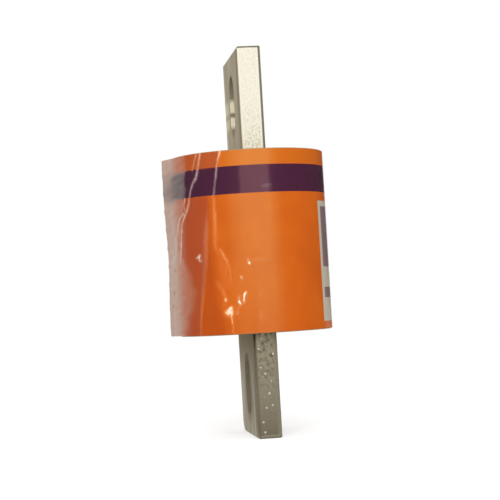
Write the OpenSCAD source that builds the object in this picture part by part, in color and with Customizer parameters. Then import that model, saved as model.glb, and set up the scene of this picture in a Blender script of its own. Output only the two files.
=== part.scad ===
// Bolt-on fuse: a round insulating body with a slotted flat blade at each end.
// The origin is the centre of the body, +Z runs along the fuse, X along the blades' width.
// The front is -Y, where the label has its panel.

/* [Body] */
// Diameter of the body over its label and film
body_d = 63.5; // [61:0.5:70]
// Length of the tube
tube_len = 73.5; // [70:0.5:90]
// Thickness of the tube's wall
tube_wall = 4.75; // [4:0.25:6]
// Chamfer on the outer end edges of the tube
tube_chamfer = 0.3; // [0.2:0.1:1]

/* [Blades] */
// Width of each blade
blade_w = 50.8; // [44:0.1:51]
// Thickness of each blade
blade_t = 9.5; // [8.5:0.1:10]
// How far each blade stands out of the tube
blade_out = 42.1; // [40:0.1:50]
// Radius along the blades' long edges
blade_edge_r = 1; // [0.5:0.1:1.5]
// Length of the bolt slot, end to end
slot_len = 25.4; // [20:0.1:26]
// Width of the bolt slot
slot_w = 14.3; // [10:0.1:15]
// Distance from the tube's end to the middle of the slot
slot_out = 20.75; // [18:0.25:23]
// Corner radius of the blades' tips
tip_r = 1.5; // [1:0.1:4]
// Corner radius of the lower blade's far corner, which is ground off rounder
far_tip_r = 8; // [1.5:0.5:9]

/* [End blocks] */
// Thickness of each end block
block_t = 11; // [10:0.5:13]
// How deep the blocks sit below the tube's ends
block_recess = 0.8; // [0.4:0.1:1]
// Width of the blade's tang through the block
tang_w = 38; // [34:0.5:40]
// Thickness of the tang
tang_t = 8; // [7:0.25:8.5]
// Diameter of the filling hole and its plug
plug_d = 6.4; // [5:0.1:7]
// Distance from the middle of the block to the plug
plug_offset = 16; // [14.5:0.1:16.5]

/* [Pins] */
// Pins at each end
pin_count = 6; // [4, 6, 8]
// Diameter of a pin
pin_d = 4; // [3:0.1:4.4]
// Length of a pin, from the tube's outer face inwards
pin_len = 11; // [9:0.5:11]

/* [Elements] */
// Width of a fuse strip
strip_w = 13; // [10:0.5:13.5]
// Thickness of the strip
strip_t = 0.25; // [0.2:0.05:0.3]
// Depth of the kerf that holds each end of the strip
kerf_depth = 1.5; // [1:0.1:2]
// Folds along the strip
fold_count = 5; // [3:1:6]
// Height of each fold to one side of the strip's middle
fold_h = 2; // [1:0.1:2.4]
// Diameter of the punched holes
punch_d = 2.4; // [1.6:0.1:2.5]
// Holes in one row across the strip
punch_count = 4; // [3:1:4]
// Distance between the three strips of one layer
strip_pitch = 16; // [15:0.5:16]
// Distance of each layer of strips from the middle
layer_offset = 9; // [8.5:0.25:9.5]

/* [Label] */
// Thickness of the label's sheet
label_t = 0.2; // [0.1:0.05:0.3]
// Thickness of one pass of ink
ink_t = 0.02; // [0.01:0.01:0.04]
// Thickness of the clear film over it
film_t = 0.1; // [0.1:0.05:0.2]
// Gap where the label's two ends meet
seam_w = 0.6; // [0.4:0.1:1.5]
// Height of the dark band
band_h = 11.1; // [8:0.1:13]
// Distance from the label's top edge to the band
band_drop = 6.2; // [4:0.1:8]
// Angle that the framed panel takes up round the body
panel_angle = 72; // [60:1:90]
// Distance from the label's top edge to the panel
panel_drop = 20.9; // [20:0.1:24]
// Distance from the panel to the label's bottom edge
panel_foot = 3; // [2:0.1:6]
// Width of the panel's light frame
frame_w = 2.2; // [1.5:0.1:3]
// Height of the dark block at the panel's top
panel_block_h = 24.7; // [20:0.1:26]
// Height of the light strip under the block
panel_gap_h = 8.3; // [6:0.1:9]
// Height of the dark bar under the light strip
panel_bar_h = 4.3; // [3:0.1:6]
// How far the film's fold stands off the label
fold_out = 3.7; // [2.5:0.1:4]
// Radius of the fold's rounded ridge
ridge_r = 1.5; // [1:0.1:2]
// Direction of the fold, in degrees from the X axis
fold_angle = 86; // [60:1:110]

/* [Hidden] */
$fn = 96;
eps = 0.01;
film_r = body_d / 2;
// How far a flat of the film's many-sided section comes inside its circle, with room to spare
film_sag = 0.02;
film_steps = 120;
ridge_steps = 8;
label_r = film_r - film_t - film_sag - 2 * ink_t;
tube_r = label_r - label_t;
bore_r = tube_r - tube_wall;
end_z = tube_len / 2;
block_top = end_z - block_recess;
block_bottom = block_top - block_t;
block_chamfer = 0.5;
tip_z = end_z + blade_out;
slot_z = end_z + slot_out;
pin_z = block_top - block_t / 2;
pin_first_angle = 30;
strip_len = 2 * (block_bottom + kerf_depth);
fold_straight = 4;
fold_pitch = 2 * (block_bottom - fold_straight) / fold_count;
seam_angle = 35;
panel_middle = 270;
label_top = end_z - tube_chamfer;
half_seam = seam_w / label_r * 90 / PI;
seam_margin = 0.5;
ends = ["upper", "lower"];
band_colour = "#4a2638";
layers = [-1, 1];
strip_count = 6;

// Turns the upper end's pieces into the lower end's, about the X axis
module at_end(end) {
    if (end == "upper") children();
    else mirror([0, 0, 1]) children();
}

module tube_end_chamfer() {
    translate([0, 0, end_z - tube_chamfer])
        difference() {
            cylinder(r = tube_r + 1, h = tube_chamfer + 1);
            translate([0, 0, -eps])
                cylinder(r1 = tube_r + eps, r2 = tube_r - tube_chamfer, h = tube_chamfer + eps);
            translate([0, 0, tube_chamfer - eps])
                cylinder(r = tube_r - tube_chamfer, h = 2);
        }
}

// One drive pin, lying along its radius from the tube's outer face
module pin_rod(index) {
    rotate([0, 0, pin_first_angle + (index - 1) * 360 / pin_count])
        translate([tube_r - pin_len, 0, pin_z])
            rotate([0, 90, 0])
                children();
}

module pin(end, index) {
    color("lightslategray")
        at_end(end)
            intersection() {
                pin_rod(index) cylinder(d = pin_d, h = pin_len + 1);
                cylinder(r = tube_r, h = end_z);
            }
}

module pin_holes(end) {
    for (index = [1:pin_count])
        at_end(end)
            pin_rod(index) cylinder(d = pin_d, h = pin_len + 1);
}

module tube() {
    color("burlywood")
        difference() {
            translate([0, 0, -end_z]) cylinder(r = tube_r, h = tube_len);
            translate([0, 0, -end_z - 1]) cylinder(r = bore_r, h = tube_len + 2);
            for (end = ends) {
                at_end(end) tube_end_chamfer();
                pin_holes(end);
            }
        }
}

// The metal block that closes one end of the tube
module end_block(end) {
    color("darkkhaki")
        difference() {
            at_end(end)
                translate([0, 0, block_bottom]) {
                    cylinder(r = bore_r, h = block_t - block_chamfer);
                    translate([0, 0, block_t - block_chamfer])
                        cylinder(r1 = bore_r, r2 = bore_r - block_chamfer, h = block_chamfer);
                }
            at_end(end)
                translate([-tang_w / 2, -tang_t / 2, block_bottom - 1])
                    cube([tang_w, tang_t, block_t + 2]);
            pin_holes(end);
            kerfs();
            if (end == "upper") plug_hole();
        }
}

module kerfs() {
    for (index = [1:strip_count])
        strip_place(index)
            translate([-strip_w / 2, -strip_t / 2, -strip_len / 2])
                cube([strip_w, strip_t, strip_len]);
}

module plug_hole() {
    translate([0, plug_offset, block_bottom - 1]) cylinder(d = plug_d, h = block_t + 2);
}

// Outline of the blade's wide face: a plain bar with rounded tip corners and the bolt slot
module blade_outline(far_r) {
    difference() {
        translate([-blade_w / 2, block_top]) square([blade_w, tip_z - block_top]);
        tip_corner(-1, tip_r);
        tip_corner(1, far_r);
        bolt_slot_outline();
    }
}

// What is cut away to round one corner of the tip
module tip_corner(side, corner_r) {
    translate([side * (blade_w / 2 - corner_r), tip_z - corner_r])
        difference() {
            translate([(side - 1) * corner_r, 0]) square(2 * corner_r);
            circle(r = corner_r);
        }
}

module bolt_slot_outline() {
    reach = (slot_len - slot_w) / 2;
    for (side = [-1, 1])
        translate([0, slot_z + side * reach]) circle(d = slot_w);
    translate([-slot_w / 2, slot_z - reach]) square([slot_w, 2 * reach]);
}

// Section across the blade, with its four long edges rounded
module blade_section() {
    translate([-blade_w / 2 + blade_edge_r, -blade_t / 2])
        square([blade_w - 2 * blade_edge_r, blade_t]);
    translate([-blade_w / 2, -blade_t / 2 + blade_edge_r])
        square([blade_w, blade_t - 2 * blade_edge_r]);
    for (side = [-1, 1], face = [-1, 1])
        translate([side * (blade_w / 2 - blade_edge_r), face * (blade_t / 2 - blade_edge_r)])
            circle(r = blade_edge_r);
}

// The blade stands on the block's outer face and its tang goes through the block
module blade(end, far_r) {
    color("silver")
        at_end(end) {
            intersection() {
                translate([0, blade_t, 0])
                    rotate([90, 0, 0])
                        linear_extrude(height = 2 * blade_t)
                            blade_outline(far_r);
                translate([0, 0, block_top])
                    linear_extrude(height = tip_z)
                        blade_section();
                blade_side();
            }
            translate([-tang_w / 2, -tang_t / 2, block_bottom])
                cube([tang_w, tang_t, block_t]);
        }
}

// The blade seen from the side, with the tip's two edges eased
module blade_side() {
    ease = 0.6;
    foot = block_top - 1;
    translate([-blade_w, 0, 0])
        rotate([90, 0, 90])
            linear_extrude(height = 2 * blade_w)
                polygon([
                    [-blade_t / 2, foot], [blade_t / 2, foot],
                    [blade_t / 2, tip_z - ease], [blade_t / 2 - ease, tip_z],
                    [-blade_t / 2 + ease, tip_z], [-blade_t / 2, tip_z - ease]]);
}

// Side view of one strip: straight ends and a row of folds between them
function strip_line() = concat(
    [[0, -strip_len / 2], [0, -block_bottom + fold_straight]],
    [for (i = [0:fold_count - 1])
        [(i % 2 == 0 ? 1 : -1) * fold_h, -block_bottom + fold_straight + (i + 0.5) * fold_pitch]],
    [[0, block_bottom - fold_straight], [0, strip_len / 2]]);

function shifted(points, by) = [for (p = points) [p[0] + by, p[1]]];

function reversed(points) = [for (i = [len(points) - 1:-1:0]) points[i]];

module strip_solid() {
    line = strip_line();
    translate([-strip_w / 2, 0, 0])
        rotate([90, 0, 90])
            linear_extrude(height = strip_w)
                polygon(concat(shifted(line, -strip_t / 2), reversed(shifted(line, strip_t / 2))));
}

// A row of holes across the strip at each fold, with a half hole in each edge
module strip_punches() {
    punch_pitch = strip_w / punch_count;
    for (i = [0:fold_count - 1], j = [0:punch_count])
        translate([
            (j - punch_count / 2) * punch_pitch,
            0,
            -block_bottom + fold_straight + (i + 0.5) * fold_pitch])
            rotate([90, 0, 0])
                cylinder(d = punch_d, h = 4 * fold_h, center = true);
}

module strip_place(index) {
    translate([
        (floor((index - 1) / 2) - 1) * strip_pitch,
        layers[(index - 1) % 2] * layer_offset,
        0])
        children();
}

module element(index) {
    color("gainsboro")
        strip_place(index)
            difference() {
                strip_solid();
                strip_punches();
            }
}

// The packed sand between the blocks, moulded round the six strips
module quartz_filler() {
    color("ivory")
        difference() {
            translate([0, 0, -block_bottom]) cylinder(r = bore_r, h = 2 * block_bottom);
            for (index = [1:strip_count])
                strip_place(index) strip_solid();
        }
}

module filler_plug() {
    dimple_d = plug_d / 2;
    dimple_depth = 1.2;
    color("goldenrod")
        difference() {
            translate([0, plug_offset, block_bottom]) cylinder(d = plug_d, h = block_t);
            translate([0, plug_offset, block_top - dimple_depth])
                cylinder(d = dimple_d, h = dimple_depth + 1);
        }
}

// A printed field between two directions and two heights, some passes of ink thick
module label_field(from_angle, to_angle, bottom, top, passes) {
    root_r = label_r - label_t / 2;
    translate([0, 0, bottom])
        rotate([0, 0, from_angle])
            rotate_extrude(angle = to_angle - from_angle)
                translate([root_r, 0]) square([label_r + passes * ink_t - root_r, top - bottom]);
}

// The sheet, wrapped round the tube until its two ends nearly meet
module label_sheet() {
    translate([0, 0, -label_top])
        rotate([0, 0, seam_angle + half_seam])
            rotate_extrude(angle = 360 - 2 * half_seam)
                translate([tube_r, 0]) square([label_t, 2 * label_top]);
}

// The framed panel: a light ground with a dark block and a dark bar over it
module label_panel() {
    half_turn = panel_angle / 2;
    inner_turn = half_turn - frame_w / label_r * 180 / PI;
    top = label_top - panel_drop;
    bottom = -label_top + panel_foot;
    block_foot = top - frame_w - panel_block_h;
    bar_top = block_foot - panel_gap_h;
    color("gainsboro")
        label_field(panel_middle - half_turn, panel_middle + half_turn, bottom, top, 1);
    color(band_colour) {
        label_field(panel_middle - inner_turn, panel_middle + inner_turn, block_foot, top - frame_w, 2);
        label_field(panel_middle - inner_turn, panel_middle + inner_turn, bar_top - panel_bar_h, bar_top, 2);
    }
}

module label() {
    band_top = label_top - band_drop;
    turn_from = seam_angle + half_seam + seam_margin;
    turn_to = seam_angle + 360 - half_seam - seam_margin;
    color("darkorange") label_sheet();
    color(band_colour) label_field(turn_from, turn_to, band_top - band_h, band_top, 2);
    label_panel();
}

// Points along an arc, at even steps between two directions
function arc_points(middle, r, from_angle, to_angle, steps) = [
    for (i = [0:steps])
        let (a = from_angle + (to_angle - from_angle) * i / steps)
        [middle + r * cos(a), r * sin(a)]];

// Section of the film: tight round the label, then off along two tangents to a rounded fold
module film_section(inset) {
    ridge_at = film_r + fold_out - ridge_r;
    touch = acos((film_r - ridge_r) / ridge_at);
    polygon(concat(
        arc_points(0, film_r - inset, touch, 360 - touch, film_steps),
        arc_points(ridge_at, ridge_r - inset, -touch, touch, ridge_steps)));
}

module label_film() {
    color([0.95, 0.93, 0.9, 0.4])
        translate([0, 0, -label_top])
            rotate([0, 0, fold_angle])
                linear_extrude(height = 2 * label_top)
                    difference() {
                        film_section(0);
                        film_section(film_t);
                    }
}

tube();
label();
label_film();
for (end = ends)
    end_block(end);
blade("upper", tip_r);  // upper_blade
blade("lower", far_tip_r);  // lower_blade
for (end = ends, i = [1:pin_count])
    pin(end, i);
for (i = [1:strip_count])
    element(i);
quartz_filler();
filler_plug();
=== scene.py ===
import math

import bmesh
import bpy
import numpy as np
from mathutils import Matrix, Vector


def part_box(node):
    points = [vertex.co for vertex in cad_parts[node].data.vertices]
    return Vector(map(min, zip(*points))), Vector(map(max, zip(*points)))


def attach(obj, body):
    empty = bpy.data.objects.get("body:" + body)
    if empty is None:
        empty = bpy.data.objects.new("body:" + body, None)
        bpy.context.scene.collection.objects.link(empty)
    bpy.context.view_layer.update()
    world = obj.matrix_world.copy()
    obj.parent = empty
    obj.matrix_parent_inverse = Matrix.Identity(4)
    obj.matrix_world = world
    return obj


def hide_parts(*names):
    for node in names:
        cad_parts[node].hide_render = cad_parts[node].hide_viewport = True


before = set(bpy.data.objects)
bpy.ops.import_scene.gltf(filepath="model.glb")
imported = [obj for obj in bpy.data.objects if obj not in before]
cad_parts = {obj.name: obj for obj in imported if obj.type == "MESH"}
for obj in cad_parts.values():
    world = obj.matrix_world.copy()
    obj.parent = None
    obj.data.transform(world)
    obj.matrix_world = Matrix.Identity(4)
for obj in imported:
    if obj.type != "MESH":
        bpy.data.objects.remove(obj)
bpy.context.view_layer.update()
print("frame loaded:", len(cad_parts), "nodes")

mm = 0.001

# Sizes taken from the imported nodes
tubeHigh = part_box("tube")[1]
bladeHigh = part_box("upper_blade")[1]
tubeRadius = tubeHigh.x
tubeTop = tubeHigh.z
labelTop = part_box("label")[1].z
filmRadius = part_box("label_film")[1].x
bladeHalfWidth = bladeHigh.x
bladeHalfThickness = bladeHigh.y
bladeTip = bladeHigh.z
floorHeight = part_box("lower_blade")[0].z

# Settings that many nodes share, and that of every spin
times = {"operation": "MULTIPLY"}
minus = {"operation": "SUBTRACT"}
larger = {"operation": "MAXIMUM"}
smaller = {"operation": "MINIMUM"}
unsigned = {"operation": "ABSOLUTE"}
softStep = {"interpolation_type": "SMOOTHSTEP"}
colourMix = {"data_type": "RGBA"}
valueMix = {"data_type": "FLOAT"}
aroundAxis = {"cent": (0, 0, 0), "axis": (0, 0, 1), "use_merge": False}


def linear(hexColour):
    # sRGB hex to the linear values that the sockets take
    values = []
    for i in (0, 2, 4):
        c = int(hexColour[i:i + 2], 16) / 255
        values.append(c / 12.92 if c <= 0.04045 else ((c + 0.055) / 1.055) ** 2.4)
    return (values[0], values[1], values[2], 1.0)


def connect(tree, node, inputs):
    # each input takes a value, a socket, or another node's first output
    for key, value in inputs.items():
        if isinstance(value, bpy.types.Node):
            value = value.outputs[0]
        if isinstance(value, bpy.types.NodeSocket):
            tree.links.new(value, node.inputs[key])
        else:
            node.inputs[key].default_value = value


def addNode(tree, kind, settings=None, inputs=None):
    # settings are the node's own fields; "stops" are a colour ramp's places and hex colours
    node = tree.nodes.new("ShaderNode" + kind)
    for key, value in (settings or {}).items():
        if key == "stops":
            ramp = node.color_ramp
            while len(ramp.elements) < len(value):
                ramp.elements.new(0.5)
            for element, (position, colour) in zip(ramp.elements, value):
                element.position = position
                element.color = linear(colour)
        else:
            setattr(node, key, value)
    connect(tree, node, inputs or {})
    return node


def emptyTree(owner):
    # the node tree of a material or a world, cleared
    owner.use_nodes = True
    owner.node_tree.nodes.clear()
    return owner.node_tree


def newMaterial(name, shader):
    # a material with one Principled shader, its constant sockets set, and its Object coordinates
    material = bpy.data.materials.new(name)
    tree = emptyTree(material)
    surface = addNode(tree, "BsdfPrincipled", None, shader)
    addNode(tree, "OutputMaterial", None, {"Surface": surface})
    return material, tree, surface, addNode(tree, "TexCoord").outputs["Object"]


def perMm(size):
    # texture scale that gives a pattern of that many millimetres in Object coordinates
    return 1 / (size * mm)


def grey(value):
    return (value, value, value, 1.0)


def span(low, high, atLow=0.0, atHigh=1.0):
    # where a Map Range node starts and ends, and what it gives there
    return {"From Min": low, "From Max": high, "To Min": atLow, "To Max": atHigh}


def between(tree, value, low, high, soft):
    # 1 where value lies between low and high, with soft edges
    rise = addNode(tree, "MapRange", None, {"Value": value, **span(low - soft, low + soft)})
    fall = addNode(tree, "MapRange", None, {"Value": value, **span(high - soft, high + soft, 1.0, 0.0)})
    return addNode(tree, "Math", times, {0: rise, 1: fall})


def apart(tree, value, place):
    # how far a value lies from a place, on either side of it
    offset = addNode(tree, "Math", minus, {0: value, 1: place})
    return addNode(tree, "Math", unsigned, {0: offset})


def streaks(tree, place, across, along, more):
    # noise drawn out along the fuse: a streak's width and length in mm, and the noise's other inputs
    stretch = addNode(tree, "Mapping", None, {
        "Vector": place, "Scale": (perMm(across), perMm(across), perMm(along))})
    return addNode(tree, "TexNoise", None, {"Vector": stretch, "Scale": 1.0, **more})


def addObject(name, data):
    thing = bpy.data.objects.new(name, data)
    bpy.context.scene.collection.objects.link(thing)
    return thing


def meshFrom(bm, name):
    mesh = bpy.data.meshes.new(name)
    bm.to_mesh(mesh)
    bm.free()
    return mesh


def thickSheet(bm, name, thickness):
    # an open wall round the axis: its normals turn away from the axis, then it gets its thickness
    bmesh.ops.recalc_face_normals(bm, faces=bm.faces)
    bm.faces.ensure_lookup_table()
    first = bm.faces[0]
    middle = first.calc_center_median()
    if first.normal.x * middle.x + first.normal.y * middle.y < 0:
        bmesh.ops.reverse_faces(bm, faces=bm.faces)
    bmesh.ops.solidify(bm, geom=bm.faces[:], thickness=thickness * mm)
    for face in bm.faces:
        face.smooth = True
    return meshFrom(bm, name)


copyMerge = {
    "within": 0.002,
    "flatUnder": 0.2,
    "sharpOver": 35,
}


def finishedCopy(node, material):
    # a merged, smooth-shaded copy stands for a CAD node, whose mesh is loose triangles
    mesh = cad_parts[node].data.copy()
    mesh.materials.clear()
    piece = addObject(node + "_finish", mesh)
    bm = bmesh.new()
    bm.from_mesh(mesh)
    bmesh.ops.remove_doubles(bm, verts=bm.verts, dist=copyMerge["within"] * mm)
    bmesh.ops.dissolve_limit(bm, angle_limit=math.radians(copyMerge["flatUnder"]),
                             verts=bm.verts, edges=bm.edges)
    for face in bm.faces:
        face.smooth = True
    bm.to_mesh(mesh)
    bm.free()
    mesh.set_sharp_from_angle(angle=math.radians(copyMerge["sharpOver"]))
    mesh.materials.append(material)
    weighted = piece.modifiers.new("flat faces keep their normals", "WEIGHTED_NORMAL")
    weighted.keep_sharp = True
    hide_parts(node)
    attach(piece, "root")
    return piece


# Camera

cameraView = {
    "place": (-0.63594, 0.08293, -0.02413),
    "turn": (91.936, 3.328, -97.250),
    "lens": 111.03,
}
cameraData = bpy.data.cameras.new("camera")
cameraData.lens = cameraView["lens"]
cameraData.sensor_width = 36
cameraData.clip_start = 0.01
camera = addObject("camera", cameraData)
camera.location = cameraView["place"]
camera.rotation_euler = [math.radians(a) for a in cameraView["turn"]]
bpy.context.scene.camera = camera
bpy.context.scene.view_settings.view_transform = "Standard"
print("camera set")


# Studio: white surround, pale floor, one soft lamp, and boards that only gloss sees

studio = {
    "worldLight": 0.66,
    "floorSize": 1.6,
    "floorGrey": 0.8,
    "floorLift": 0.45,
    "lampPlace": (-1.13, 0.12, 0.75),
    "lampSize": 0.8,
    "lampWatts": 9.0,
    "cardTint": "fff9ed",
    "boardSteps": 24,
}
# each board is a line of (radius, height) in metres, turned between two directions in degrees
boards = {
    "left_board": {"line": ((1.4, -0.078), (1.4, 0.42)), "turn": (55, 144), "grey": 0.12, "glow": 0.0},
    "right_board": {"line": ((1.4, -0.078), (1.4, 0.42)), "turn": (216, 335), "grey": 0.07, "glow": 0.0},
    "light_card": {"line": ((1.4, -0.06), (1.4, 0.8)), "turn": (174, 206), "grey": 0.0, "glow": 1.15},
    "upper_card": {"line": ((1.4, 0.02), (1.4, 0.8)), "turn": (158, 174), "grey": 0.0, "glow": 1.15},
    "left_fade": {"line": ((1.4, 0.04), (1.4, 0.8)), "turn": (144, 158), "grey": 0.0, "glow": 0.6},
    "right_fade": {"line": ((1.4, -0.06), (1.4, 0.8)), "turn": (206, 216), "grey": 0.0, "glow": 0.5},
    "low_shade": {"line": ((1.39, -0.078), (1.39, 0.015)), "turn": (144, 176), "grey": 0.1, "glow": 0.35},
    "dark_mat": {"line": ((0.026, -0.0775), (1.39, -0.0775)), "turn": (60, 300), "grey": 0.06, "glow": 0.0},
}


def seenRays(tree):
    # 1 for the rays that show the background: straight, in gloss, or through clear film
    path = addNode(tree, "LightPath")
    direct = addNode(tree, "Math", larger,
                     {0: path.outputs["Is Camera Ray"], 1: path.outputs["Is Glossy Ray"]})
    return addNode(tree, "Math", larger, {0: direct, 1: path.outputs["Is Transmission Ray"]})


def makeWorld():
    world = bpy.data.worlds.new("studio")
    tree = emptyTree(world)
    light = addNode(tree, "Background", None, {"Color": grey(1), "Strength": studio["worldLight"]})
    shown = addNode(tree, "Background", None, {"Color": grey(1), "Strength": 1.0})
    mix = addNode(tree, "MixShader", None, {0: seenRays(tree), 1: light, 2: shown})
    addNode(tree, "OutputWorld", None, {"Surface": mix})
    bpy.context.scene.world = world


def glowingMatt(tree, greyValue, glowColour, strength):
    # matt grey with a glow added to it
    matt = addNode(tree, "BsdfDiffuse", None, {"Color": grey(greyValue)})
    glow = addNode(tree, "Emission", None, {"Color": glowColour, "Strength": strength})
    both = addNode(tree, "AddShader", None, {0: matt, 1: glow})
    addNode(tree, "OutputMaterial", None, {"Surface": both})


def makeFloor():
    material = bpy.data.materials.new("pale floor")
    tree = emptyTree(material)
    lift = addNode(tree, "Math", times, {0: seenRays(tree), 1: studio["floorLift"]})
    glowingMatt(tree, studio["floorGrey"], grey(1), lift)
    bm = bmesh.new()
    bmesh.ops.create_grid(bm, x_segments=1, y_segments=1, size=studio["floorSize"])
    bmesh.ops.translate(bm, verts=bm.verts, vec=(0, 0, floorHeight))
    mesh = meshFrom(bm, "floor")
    mesh.materials.append(material)
    addObject("floor", mesh)


def makeBoard(name, board):
    material = bpy.data.materials.new(name.replace("_", " "))
    glowingMatt(emptyTree(material), board["grey"], linear(studio["cardTint"]), board["glow"])
    start, end = (math.radians(a) for a in board["turn"])
    bm = bmesh.new()
    line = [bm.verts.new((r * math.cos(start), r * math.sin(start), h)) for r, h in board["line"]]
    edge = bm.edges.new(line)
    bmesh.ops.spin(bm, geom=[*line, edge], angle=end - start, steps=studio["boardSteps"], **aroundAxis)
    mesh = meshFrom(bm, name)
    mesh.materials.append(material)
    piece = addObject(name, mesh)
    piece.visible_camera = False
    piece.visible_diffuse = False
    piece.visible_transmission = False
    piece.visible_shadow = False


def makeLamp():
    data = bpy.data.lights.new("soft lamp", "AREA")
    data.shape = "SQUARE"
    data.size = studio["lampSize"]
    data.energy = studio["lampWatts"]
    lamp = addObject("soft lamp", data)
    lamp.location = studio["lampPlace"]
    lamp.rotation_euler = (-lamp.location).to_track_quat("-Z", "Y").to_euler()
    lamp.visible_glossy = False


makeWorld()
makeFloor()
for boardName, board in boards.items():
    makeBoard(boardName, board)
makeLamp()
print("studio made")


# Blades: copper bar, sheared to size and tin plated. The wide faces keep the rolling lines, the
# sheared edges are mottled, and the lower blade's tones are darker than the upper's: painted shade.

# tones, and places in mm, most of them counted from where the blade leaves the body
bladeFinish = {
    "upper_blade": {
        "thinFace": "eceadc",
        "thinMottle": "a29e80",
        "thinStrip": "eceade",
        "tipShade": 0.0,
        "mottleSize": 0.75,
        "mottleReach": 20,
        "wideFace": "d2ccbc",
        "wideStreak": "b6ae9c",
        "bandDark": 0.55,
        "glance": "c9c1b2",
        "glanceDark": "938a77",
        "bodyShade": 0.0,
        "bodyShadeReach": 8,
        "frontEdgeShading": "f4ecd8",
        "backEdgeShade": "7e7664",
        "slotWall": "968b78",
        "slotShade": 5,
        "slotShadeStrength": 0.5,
        "slotHighlight": "fff8dc",
        "slotHighlightFrom": 12.8,
        "slotHighlightTo": 24.1,
        "slotHighlightGap": 18.1,
        "farHighlight": 1.0,
        "glintSpeckShare": 0.03,
        "glintSpeckRow": 200,
        "roughness": 0.22,
    },
    # the lower blade's darker tones are painted shade
    "lower_blade": {
        "thinFace": "a69e88",
        "thinMottle": "575039",
        "thinStrip": "9a937e",
        "tipShade": 0.45,
        "mottleSize": 1.6,
        "mottleReach": 30,
        "wideFace": "c8c1b0",
        "wideStreak": "a79e8c",
        "bandDark": 0.6,
        "glance": "cecdc6",
        "glanceDark": "8a8278",
        "bodyShade": 1.0,
        "bodyShadeReach": 28,
        "frontEdgeShading": "746c5a",
        "backEdgeShade": "8c8472",
        "slotWall": "948a76",
        "slotShade": 9,
        "slotShadeStrength": 0.85,
        "slotHighlight": "8f8672",
        "slotHighlightFrom": 12,
        "slotHighlightTo": 20,
        "slotHighlightGap": 16,
        "farHighlight": 0.0,
        "glintSpeckShare": 0.26,
        "glintSpeckRow": 21,
        "roughness": 0.3,
    },
}
# what both blades share: sizes in mm, then plain shares
bladeShape = {
    "slotMiddle": 57.5,
    "slotHalfWidth": 7.15,
    "slotHalfStraight": 5.55,
    "slotWallDepth": (0.1, 0.3),
    "edgeRadius": 1.0,
    "edgeSoft": (-0.2, 0.1),
    "stripWidth": 1.8,
    "stripSoft": 0.4,
    "cornerShade": (5.5, 8),
    "slotHighlightSoft": 1.1,
    "gapSoft": (0.24, 1.76),
    "farHighlightFrom": (9, 14),
    "tipFrom": (18, 42),
    "tipDull": (1.2, 0.72),
    "tipLine": 0.75,
    "tipLineInset": 0.15,
    "streak": (0.5, 60),
    "band": (5, 70),
    # the bright specks on the sheared edge are painted glints
    "speck": "fffdf2",
    "glintSpeckPitch": 1.4,
    "glintSpeckFade": (1, 9),
    "speckSize": (0.2, 0.4),
    "glintSpeckNearShare": 2.2,
    "glintSpeckFarShare": 0.15,
    "stripCover": 0.8,
    "cornerCover": 0.9,
    "mottleAtTip": 0.25,
    "thinMetal": 0.5,
    "dullMetal": 0.15,
    "dullRoughness": 0.6,
    "wideRoughness": 0.48,
}


def inMetres(pair):
    return pair[0] * mm, pair[1] * mm


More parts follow.
